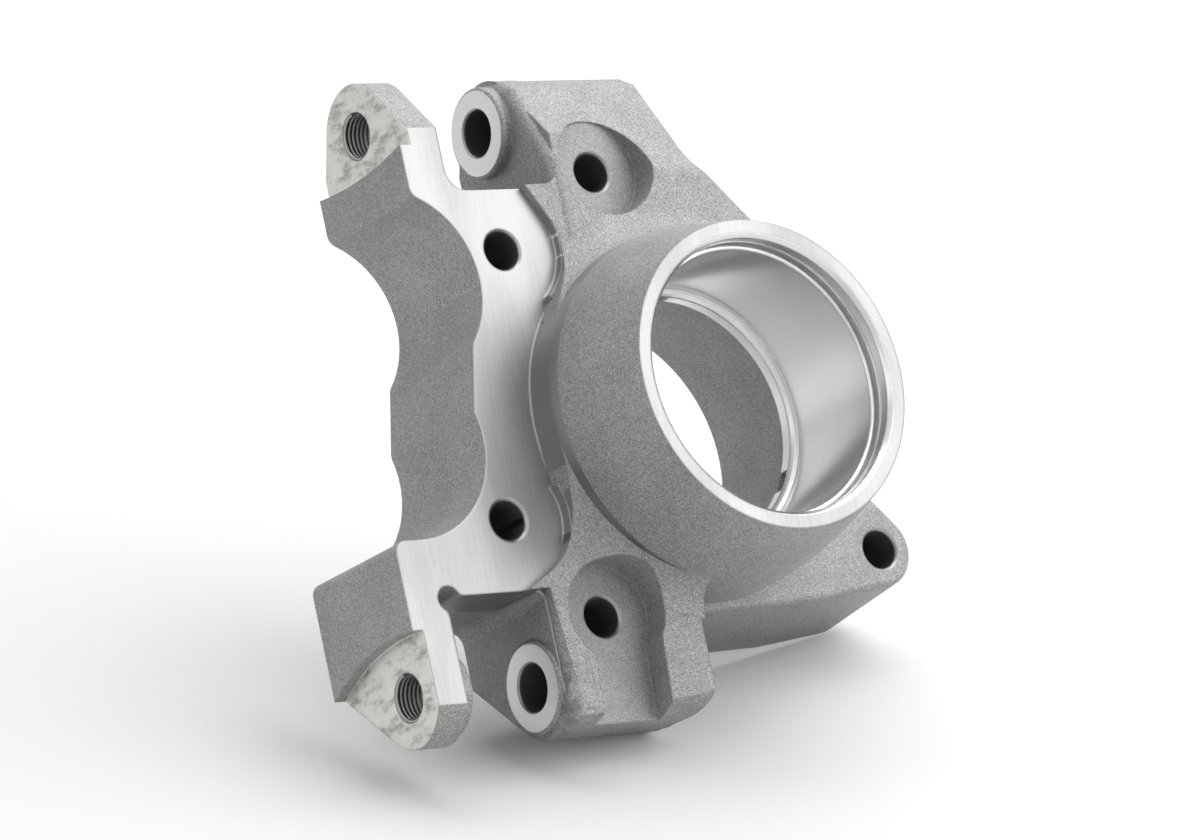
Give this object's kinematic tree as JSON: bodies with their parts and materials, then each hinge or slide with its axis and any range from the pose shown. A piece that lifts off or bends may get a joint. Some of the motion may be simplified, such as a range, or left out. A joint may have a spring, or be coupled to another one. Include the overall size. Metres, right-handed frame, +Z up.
{
  "type": "steering knuckle",
  "caption": "Cast knuckle with a turned hub bore, a milled brake bracket face, forked pivot ears and bolt pads for a suspension arm.",
  "frame": {"origin": "on the hub axis, at the middle of the bearing seat", "axes": "+Y along the hub axis, outboard, out of the bore's mouth; +Z up, from the lower clevis to the upper clevis; +X from the hub towards the two threaded ears"},
  "size_m": [0.2017, 0.0955, 0.212],
  "materials": {
    "cast_aluminium": "blasted cast skin with milled and turned faces"
  },
  "bodies": {
    "root": {"knuckle": "cast_aluminium"}
  },
  "joints": []
}
